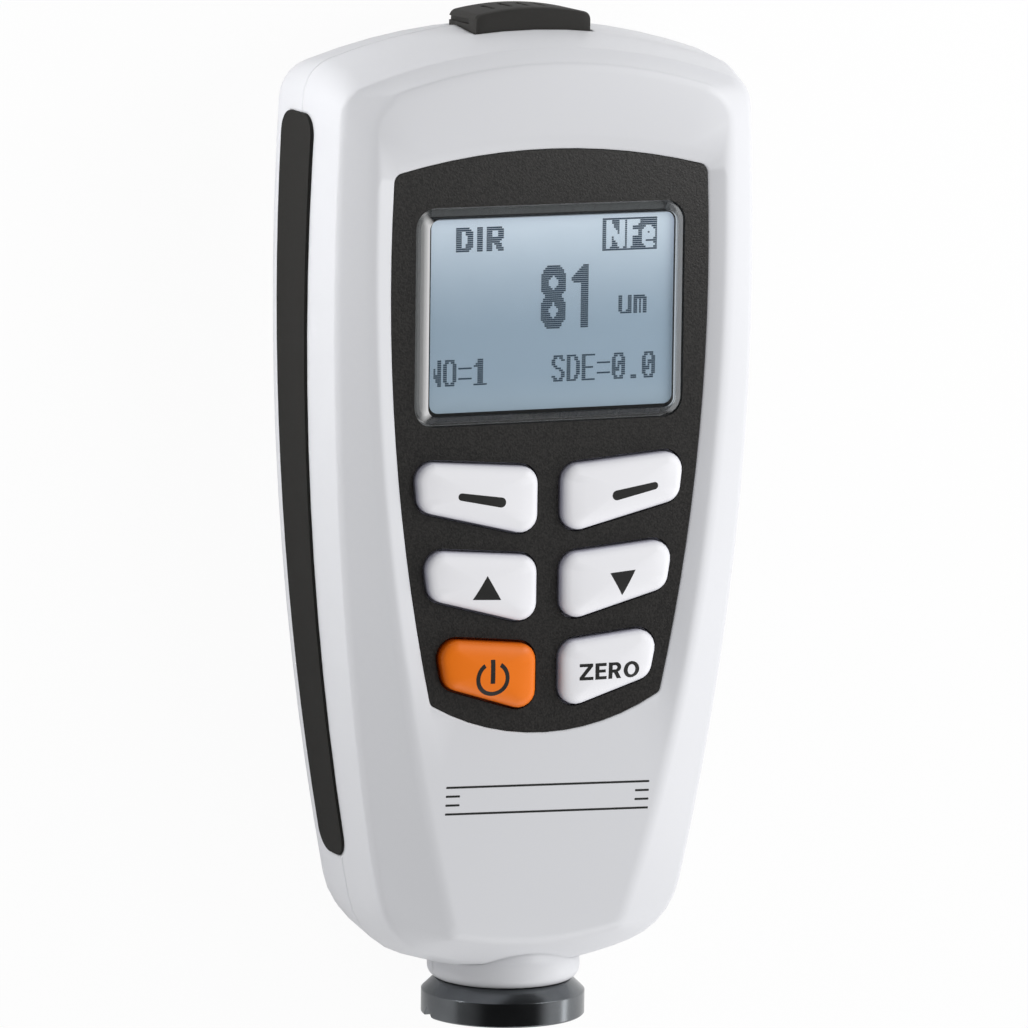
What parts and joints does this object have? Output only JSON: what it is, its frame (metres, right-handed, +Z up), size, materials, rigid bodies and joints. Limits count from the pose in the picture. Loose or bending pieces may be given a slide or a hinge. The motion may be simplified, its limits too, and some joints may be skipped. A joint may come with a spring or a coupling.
{
  "type": "coating thickness gauge",
  "caption": "Hand-held coating thickness gauge with a display, a keypad, side grips, a sprung probe at the lower end and a covered data socket at the upper end.",
  "frame": {"origin": "middle of the back face that the gauge lies on", "axes": "+X across the keys to the right, +Y from the probe to the socket end, +Z up out of the display"},
  "size_m": [0.0502, 0.111, 0.0229],
  "materials": {
    "shell": "pearl white satin moulded plastic",
    "grip_rubber": "matt black rubber",
    "panel": "fine textured charcoal plastic",
    "window": "clear polished",
    "readout": "pale blue grey display glass",
    "display_frame": "white moulded",
    "light_guide": "translucent white",
    "silicone": "grey silicone",
    "key_white": "white satin moulded plastic",
    "key_orange": "orange satin moulded plastic",
    "board": "green lacquered laminate",
    "screw_steel": "plated",
    "nickel": "nickel plated",
    "sleeve_black": "black satin turned metal",
    "tip_steel": "ground steel",
    "copper": "enamelled copper wire",
    "plug_black": "moulded black",
    "cell_wrap": "plain dark wrapper"
  },
  "bodies": {
    "body": {"front_shell": "shell", "rear_shell": "shell", "left_grip": "grip_rubber", "right_grip": "grip_rubber", "front_panel": "panel", "display_window": "window", "lcd_glass": "readout", "lcd_frame": "display_frame", "backlight": "light_guide", "keypad_mat": "silicone", "main_board": "board", "board_screws": "screw_steel", "case_screws": "screw_steel", "usb_socket": "nickel", "contact_springs": "nickel", "contact_plates": "nickel", "probe_spring": "nickel", "probe_sleeve": "sleeve_black", "probe_plug": "plug_black", "probe_lead": "plug_black", "battery_left": "cell_wrap", "battery_right": "cell_wrap"},
    "left_soft_key": {"left_soft_key": "key_white"},
    "right_soft_key": {"right_soft_key": "key_white"},
    "up_key": {"up_key": "key_white"},
    "down_key": {"down_key": "key_white"},
    "power_key": {"power_key": "key_orange"},
    "zero_key": {"zero_key": "key_white"},
    "probe": {"probe_plunger": "tip_steel", "probe_coil": "copper"},
    "battery_door": {"battery_cover": "shell"},
    "dust_cover": {"usb_cover": "grip_rubber"}
  },
  "joints": [
    {"name": "left_soft_key_press", "type": "slide", "parent": "body", "child": "left_soft_key", "axis": [0, 0, -1], "range_m": [0, 0.0008], "stiffness_N_per_m": 1500, "deforming": ["keypad_mat"]},
    {"name": "right_soft_key_press", "type": "slide", "parent": "body", "child": "right_soft_key", "axis": [0, 0, -1], "range_m": [0, 0.0008], "stiffness_N_per_m": 1500, "deforming": ["keypad_mat"]},
    {"name": "up_key_press", "type": "slide", "parent": "body", "child": "up_key", "axis": [0, 0, -1], "range_m": [0, 0.0008], "stiffness_N_per_m": 1500, "deforming": ["keypad_mat"]},
    {"name": "down_key_press", "type": "slide", "parent": "body", "child": "down_key", "axis": [0, 0, -1], "range_m": [0, 0.0008], "stiffness_N_per_m": 1500, "deforming": ["keypad_mat"]},
    {"name": "power_key_press", "type": "slide", "parent": "body", "child": "power_key", "axis": [0, 0, -1], "range_m": [0, 0.0008], "stiffness_N_per_m": 1500, "deforming": ["keypad_mat"]},
    {"name": "zero_key_press", "type": "slide", "parent": "body", "child": "zero_key", "axis": [0, 0, -1], "range_m": [0, 0.0008], "stiffness_N_per_m": 1500, "deforming": ["keypad_mat"]},
    {"name": "probe_plunge", "type": "slide", "parent": "body", "child": "probe", "axis": [0, 1, 0], "range_m": [0, 0.0015], "stiffness_N_per_m": 800, "deforming": ["probe_spring"]},
    {"name": "battery_door_slide", "type": "slide", "parent": "body", "child": "battery_door", "axis": [0, -1, 0], "range_m": [0, 0.012]},
    {"name": "dust_cover_pull", "type": "slide", "parent": "body", "child": "dust_cover", "axis": [0, 1, 0], "range_m": [0, 0.008]}
  ]
}
